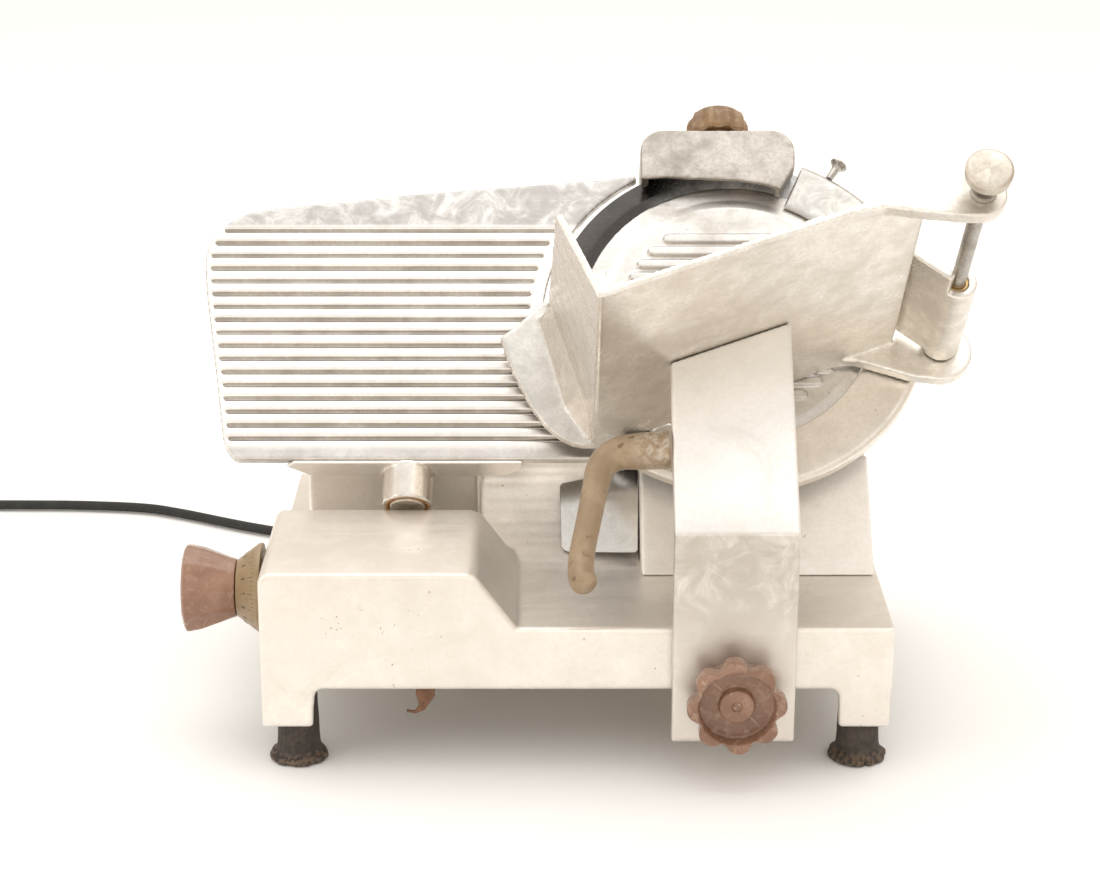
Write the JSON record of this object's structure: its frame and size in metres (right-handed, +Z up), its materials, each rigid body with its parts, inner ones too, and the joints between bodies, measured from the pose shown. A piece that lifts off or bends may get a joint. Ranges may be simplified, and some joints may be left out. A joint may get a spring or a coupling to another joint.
{
  "type": "deli meat slicer",
  "caption": "Manual deli meat slicer with a leaning round blade, ribbed gauge plate, sliding V tray with arm and handle, sharpener, brown knobs and black mains cord",
  "frame": {"origin": "centre of the bottom of the box round the slicer without its cord, on the table", "axes": "+X to the right along the carriage travel, +Y to the back, +Z up; the front with the star knob faces -Y"},
  "size_m": [1.0318, 0.7801, 0.4787],
  "materials": {
    "cast_aluminium": "sand cast, hand polished, warm grey",
    "ground_aluminium": "brushed and worn bright",
    "dull_aluminium": "as cast, dull",
    "blade_steel": "ground tool steel, dark",
    "steel": "turned steel, slightly stained",
    "stainless_sheet": "thin stainless sheet",
    "bakelite": "reddish brown bakelite, worn",
    "dial": "cream dial with numbers",
    "khaki_grip": "khaki coated lever, worn",
    "rubber": "black rubber, brown with age",
    "bronze": "bronze bush",
    "stone": "abrasive stone",
    "motor_paint": "grey motor paint",
    "rusty_steel": "rusted strip",
    "black_plastic": "moulded black plastic",
    "button_green": "green push button",
    "button_red": "red push button"
  },
  "bodies": {
    "base": {"base_casting": "cast_aluminium", "blade_pedestal": "cast_aluminium", "blade_head": "dull_aluminium", "head_rear_cover": "dull_aluminium", "bottom_plate": "dull_aluminium", "foot_front_left": "rubber", "foot_front_right": "rubber", "foot_rear_left": "rubber", "foot_rear_right": "rubber", "slide_rod": "steel", "guide_rod": "steel", "shaft_support": "dull_aluminium", "blade_cover": "ground_aluminium", "cover_tie_rod": "steel", "motor_body": "motor_paint", "drive_belt": "rubber", "guard_ring": "ground_aluminium", "guard_stay_upper": "dull_aluminium", "guard_stay_lower": "dull_aluminium", "guard_stud": "steel", "sharpener_bracket": "dull_aluminium", "sharpener_post": "steel", "slice_deflector": "stainless_sheet", "rusty_clip": "rusty_steel", "switch_plate": "black_plastic", "cord_gland": "rubber", "cord_tube": "rubber", "cord_coil": "rubber", "cord_plug": "black_plastic"},
    "carriage": {"slide_block": "bronze", "carriage_foot": "dull_aluminium", "carriage_arm": "cast_aluminium", "tray_casting": "ground_aluminium", "handle": "khaki_grip"},
    "carriage_knob": {"star_knob": "bakelite"},
    "rod": {"pusher_rod": "steel", "rod_knob": "dull_aluminium", "rod_collar": "steel"},
    "bush": {"pusher_bush": "bronze"},
    "pusher": {"pusher_hub": "dull_aluminium", "pusher_plate": "ground_aluminium"},
    "gauge": {"gauge_plate": "ground_aluminium", "gauge_bracket": "cast_aluminium", "gauge_carrier": "dull_aluminium"},
    "thickness": {"thickness_knob": "bakelite", "thickness_dial": "dial", "thickness_shaft": "steel", "thickness_cam": "steel"},
    "blade_unit": {"blade": "blade_steel", "blade_arbor": "steel", "arbor_pulley": "dull_aluminium"},
    "motor_rotor": {"motor_pinion": "steel"},
    "sharpener": {"sharpener_housing": "ground_aluminium"},
    "sharpener_dial": {"sharpener_knob": "bakelite"},
    "stone_grind": {"grinding_stone": "stone"},
    "stone_true": {"truing_stone": "stone"},
    "start": {"start_button": "button_green"},
    "stop": {"stop_button": "button_red"}
  },
  "joints": [
    {"name": "carriage_slide", "type": "slide", "parent": "base", "child": "carriage", "axis": [1, 0, 0], "range_m": [-0.28, 0.04]},
    {"name": "thickness_turn", "type": "hinge", "parent": "base", "child": "thickness", "pos_m": [-0.27005, -0.11062, 0.1217], "axis": [1, 0, 0], "range_deg": [0, 300]},
    {"name": "gauge_slide", "type": "slide", "parent": "base", "child": "gauge", "axis": [0, 0.7071, -0.7071], "range_m": [0, 0.01497]},
    {"name": "blade_spin", "type": "hinge", "parent": "base", "child": "blade_unit", "pos_m": [0.12378, 0.06792, 0.28556], "axis": [0, -0.7071, 0.7071], "continuous": true},
    {"name": "motor_spin", "type": "hinge", "parent": "base", "child": "motor_rotor", "pos_m": [0.17378, 0.04741, 0.18728], "axis": [0, -0.7071, 0.7071], "continuous": true},
    {"name": "sharpener_lift", "type": "slide", "parent": "base", "child": "sharpener", "axis": [0, 0.7071, 0.7071], "range_m": [0, 0.03]},
    {"name": "sharpener_knob_turn", "type": "hinge", "parent": "sharpener", "child": "sharpener_dial", "pos_m": [0.11628, 0.20014, 0.42204], "axis": [0, 0.7071, 0.7071], "continuous": true},
    {"name": "grinding_stone_spin", "type": "hinge", "parent": "sharpener", "child": "stone_grind", "pos_m": [0.07778, 0.17327, 0.37678], "axis": [0, -0.7071, 0.7071], "continuous": true},
    {"name": "truing_stone_spin", "type": "hinge", "parent": "sharpener", "child": "stone_true", "pos_m": [0.13978, 0.1556, 0.39446], "axis": [0, -0.7071, 0.7071], "continuous": true},
    {"name": "pusher_slide", "type": "slide", "parent": "carriage", "child": "bush", "axis": [0, -0.7071, 0.7071], "range_m": [0, 0.09]},
    {"name": "pusher_swing", "type": "hinge", "parent": "bush", "child": "pusher", "pos_m": [0.28878, -0.01411, 0.31668], "axis": [0, 0.7071, -0.7071], "range_deg": [0, 100]},
    {"name": "rod_knob_turn", "type": "hinge", "parent": "carriage", "child": "rod", "pos_m": [0.28878, -0.16048, 0.46305], "axis": [0, -0.7071, 0.7071], "continuous": true},
    {"name": "star_knob_turn", "type": "hinge", "parent": "carriage", "child": "carriage_knob", "pos_m": [0.11275, -0.21062, 0.0689], "axis": [0, -1, 0], "continuous": true},
    {"name": "start_press", "type": "slide", "parent": "base", "child": "start", "axis": [0, -1, 0], "range_m": [0, 0.003], "stiffness_N_per_m": 300, "springref_m": -0.001},
    {"name": "stop_press", "type": "slide", "parent": "base", "child": "stop", "axis": [0, -1, 0], "range_m": [0, 0.003], "stiffness_N_per_m": 300, "springref_m": -0.001}
  ],
  "couplings": [
    {"joint": "motor_spin", "follows": "blade_spin", "ratio": 2.875},
    {"joint": "thickness_turn", "follows": "gauge_slide", "rad_per_m": 349.65}
  ]
}
